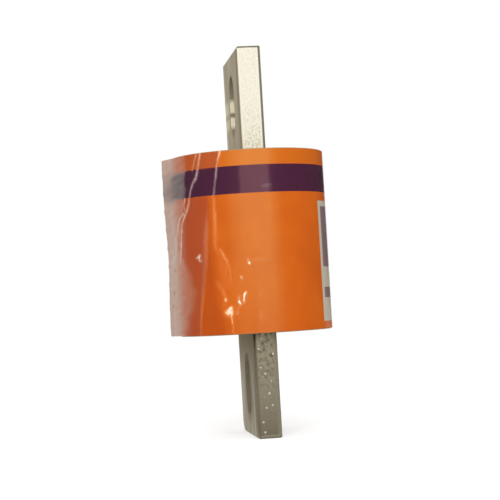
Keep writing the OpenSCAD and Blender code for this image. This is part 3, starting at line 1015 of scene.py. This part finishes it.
def makeFilm():
    fine = film["fineTo"] - film["fineFrom"]
    bm = bmesh.new()
    foot = bm.verts.new((filmRadius, 0, -labelTop))
    head = bm.verts.new((filmRadius, 0, labelTop))
    bmesh.ops.subdivide_edges(bm, edges=[bm.edges.new((foot, head))], cuts=film["rows"] - 1)
    bmesh.ops.rotate(bm, verts=bm.verts, cent=(0, 0, 0),
                     matrix=Matrix.Rotation(math.radians(film["fineFrom"]), 3, "Z"))
    spun = bmesh.ops.spin(bm, geom=bm.verts[:] + bm.edges[:], angle=math.radians(fine),
                          steps=round(fine / film["fineStep"]), **aroundAxis)
    bmesh.ops.spin(bm, geom=spun["geom_last"], angle=math.radians(360 - fine),
                   steps=round((360 - fine) / film["coarseStep"]), **aroundAxis)
    bmesh.ops.remove_doubles(bm, verts=bm.verts, dist=film["mergeWithin"] * mm)
    mesh = thickSheet(bm, "clear_film", film["thickness"])

    # shape the round shell: fold, creases and the loose part's waves
    places = np.zeros(len(mesh.vertices) * 3)
    mesh.vertices.foreach_get("co", places)
    places = places.reshape(-1, 3)
    angle = np.degrees(np.arctan2(places[:, 1], places[:, 0])) % 360
    height = places[:, 2] / mm
    arc = np.radians(angle) * filmRadius / mm
    # the creases run a little unevenly
    ragged = arc + 0.1 * np.sin(2.1 * height) + 0.07 * np.sin(4.9 * height + 1)
    light = creaseLight(ragged, height)
    loose = angle > film["looseFrom"]
    sway, pace = film["hazeWave"]
    hazeEnd = edgeAt("haze", height) + sway * np.sin(pace * height)
    soft = np.degrees(edgeAt("haze", height, 2) * mm / filmRadius)
    haze = (1 - eased(angle, hazeEnd - soft, hazeEnd + soft)) * loose
    wave = np.sin(0.8 * height + 0.3 * arc) + 0.6 * np.sin(1.7 * height - 0.5 * arc)
    wave = film["looseWave"] * haze * wave * (labelTop / mm - np.abs(height) > film["plainEnd"])
    radius = np.hypot(places[:, 0], places[:, 1]) / mm
    raised = film["creaseLift"] * light + np.clip(wave, 0, None)
    grown = radius + foldRadius(angle, height) - filmRadius / mm + raised
    places[:, :2] *= (grown / radius)[:, None]
    mesh.vertices.foreach_set("co", places.ravel())

    # tints, one float for each point: first how far it lies in the dark band's height
    inBand = eased(height, *film["bandFoot"]) * (1 - eased(height, *film["bandHead"]))

    # red flank, sharper at its foot and head, and a little paler above the band
    redSharp, redBlurred = film["redSoft"]
    blurred = eased(height, *film["redFoot"]) * (1 - eased(height, *film["redHead"]))
    redSoft = redSharp + (redBlurred - redSharp) * blurred
    redEnd = edgeAt("red", height) + film["redShift"]
    red = (1 - eased(angle, redEnd - redSoft, redEnd + redSoft)) * loose * (1 - inBand)
    red = red * (1 - film["redPaler"] * eased(height, *film["redPales"]))

    # deep orange beside it, ending below the band
    left, right = edgeAt("deepLeft", height), edgeAt("deepRight", height)
    fadeFrom, fadeTo = film["deepFades"]
    deep = eased(angle, left - film["deepSoft"], left + film["deepSoft"])
    deep = deep * (1 - eased(angle, right + fadeFrom, right + fadeTo))
    deep = deep * (1 - eased(height, *film["deepTop"]))

    # the haze thins away from the fold, more so low down and less so over the band
    thinner, lowThinner = film["hazeThinner"]
    thinning = thinner + lowThinner * eased(-height, *film["lowHaze"])
    thinning = thinning * eased(angle, *film["hazeThins"]) * (1 - film["hazeInBand"] * inBand)
    cover = haze * (film["hazeCover"] - thinning)
    warm = eased(angle, *film["warmFrom"]) * (1 - inBand)

    # the band shows through the haze, blurred near the fold
    sharpest, blurrier = film["bandBlur"]
    blur = sharpest + blurrier * (1 - eased(angle, *film["bandClears"]))
    bandFoot, bandHead = film["bandMiddle"]
    shade = eased(height, bandFoot - blur, bandFoot + blur)
    shade = shade * (1 - eased(height, bandHead - blur, bandHead + blur))
    bareLow, bareHigh = film["bareBand"]
    bare = bareLow - (bareLow - bareHigh) * eased(height, *film["bareSplit"])
    shade = shade * (bare + (1 - bare) * eased(angle, *film["bareTo"]))

    # dirt specks
    speck = np.zeros_like(arc)
    wide, tall = film["speckSize"]
    for speckAngle, speckHeight in filmSpecks:
        across = arc - math.radians(speckAngle) * filmRadius / mm
        speck = np.maximum(speck, np.exp(-(across / wide) ** 2 - ((height - speckHeight) / tall) ** 2))

    # painted crease highlights are milky over haze and red, and paler on the front
    milky = np.clip(haze + film["milkyRed"] * red ** 2, 0, 1)
    lit = eased(angle, *film["litFrom"])
    tints = {"light": light, "haze": cover, "warm": warm, "shade": shade, "red": red, "deep": deep,
             "speck": speck, "band": inBand, "milky": milky, "lit": lit}
    for name, values in tints.items():
        mesh.attributes.new(name, "FLOAT", "POINT").data.foreach_set("value", values.astype(np.float32))
    mesh.set_sharp_from_angle(angle=math.radians(film["sharpOver"]))
    return addObject("clear_film", mesh)


def layOver(tree, under, over):
    # one tint laid over another; each is a colour and how much it covers
    showsUnder = addNode(tree, "Math", minus, {0: 1.0, 1: under[1]})
    showsOver = addNode(tree, "Math", minus, {0: 1.0, 1: over[1]})
    clear = addNode(tree, "Math", times, {0: showsUnder, 1: showsOver})
    cover = addNode(tree, "Math", minus, {0: 1.001, 1: clear})
    share = addNode(tree, "Math", {"operation": "DIVIDE"}, {0: over[1], 1: cover})
    colour = addNode(tree, "Mix", colourMix, {0: share, 6: under[0], 7: over[0]})
    return colour.outputs[2], cover


def clearFilm():
    # Clear overlay film: unseen where tight, milky where loose, and with a painted highlight along each
    # sharp crease
    material, tree, surface, spot = newMaterial("clear overlay film", {
        "Roughness": film["roughness"], "IOR": 1.5})
    tint = {name: addNode(tree, "Attribute", {"attribute_name": name}).outputs["Fac"]
            for name in ("light", "haze", "warm", "shade", "red", "deep", "speck", "band", "milky", "lit")}

    # haze in long soft streaks, grey where the dark band shows through it
    veil = streaks(tree, spot, *film["veil"], {"Detail": 3.0})
    veilShare = addNode(tree, "MapRange", None, {"Value": veil, **span(0.3, 0.7, 0.93, 1.03)})
    hazeCover = addNode(tree, "Math", times, {0: tint["haze"], 1: veilShare})
    haze = linear(film["haze"])
    for name, tone in (("warm", "hazeWarm"), ("shade", "hazeShade"), ("speck", "speck")):
        haze = addNode(tree, "Mix", colourMix, {0: tint[name], 6: haze, 7: linear(film[tone])}).outputs[2]

    # the creases break up where the film is crinkled
    crinkle = addNode(tree, "TexNoise", None, {
        "Vector": spot, "Scale": perMm(film["crinkleSize"]), "Detail": 3.0})
    broken = addNode(tree, "MapRange", None, {"Value": crinkle, **span(0.35, 0.6, 0.7, 1.1)})
    crinkled = addNode(tree, "Math", times, {0: tint["light"], 1: broken})
    sharp = addNode(tree, "MapRange", softStep, {"Value": crinkled, **span(0.45, 0.8, 0.0, 0.35)})
    lightCover = addNode(tree, "Math", {"operation": "ADD", "use_clamp": True}, {0: crinkled, 1: sharp})

    # a crease's painted highlight is whiter the stronger it is, and on the front, where the label under it
    # shows its sheen
    paler = addNode(tree, "Math", {"operation": "MULTIPLY_ADD"}, {
        0: tint["lit"], 1: film["litPaler"], 2: crinkled})
    strength = addNode(tree, "MapRange", None, {"Value": paler, "From Max": 1.2})
    glint = addNode(tree, "ValToRGB", {"stops": film["glints"]}, {0: strength}).outputs[0]
    for name, tone in (("milky", "glintInHaze"), ("band", "glintInBand")):
        glint = addNode(tree, "Mix", colourMix, {0: tint[name], 6: glint, 7: linear(film[tone])}).outputs[2]

    redCover = addNode(tree, "Math", times, {0: tint["red"], 1: film["redCover"]})
    deepCover = addNode(tree, "Math", times, {0: tint["deep"], 1: film["deepCover"]})
    tints = (linear(film["red"]), redCover)
    for over in ((linear(film["deepOrange"]), deepCover), (haze, hazeCover), (glint, lightCover)):
        tints = layOver(tree, tints, over)

    # light passes two walls, so each wall has half the cover
    through = addNode(tree, "Math", {"operation": "SUBTRACT", "use_clamp": True},
                      {0: film["clearLeft"], 1: tints[1]})
    each = addNode(tree, "Math", {"operation": "SQRT"}, {0: through})
    alpha = addNode(tree, "Math", minus, {0: 1.0, 1: each})
    connect(tree, surface, {"Base Color": tints[0], "Alpha": alpha})
    return material


filmPiece = makeFilm()
filmPiece.data.materials.append(clearFilm())
# so thin a film neither shades the label nor takes light from it
filmPiece.visible_shadow = False
filmPiece.visible_diffuse = False
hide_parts("label_film")
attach(filmPiece, "root")
print("film made:", len(filmPiece.data.polygons), "faces")
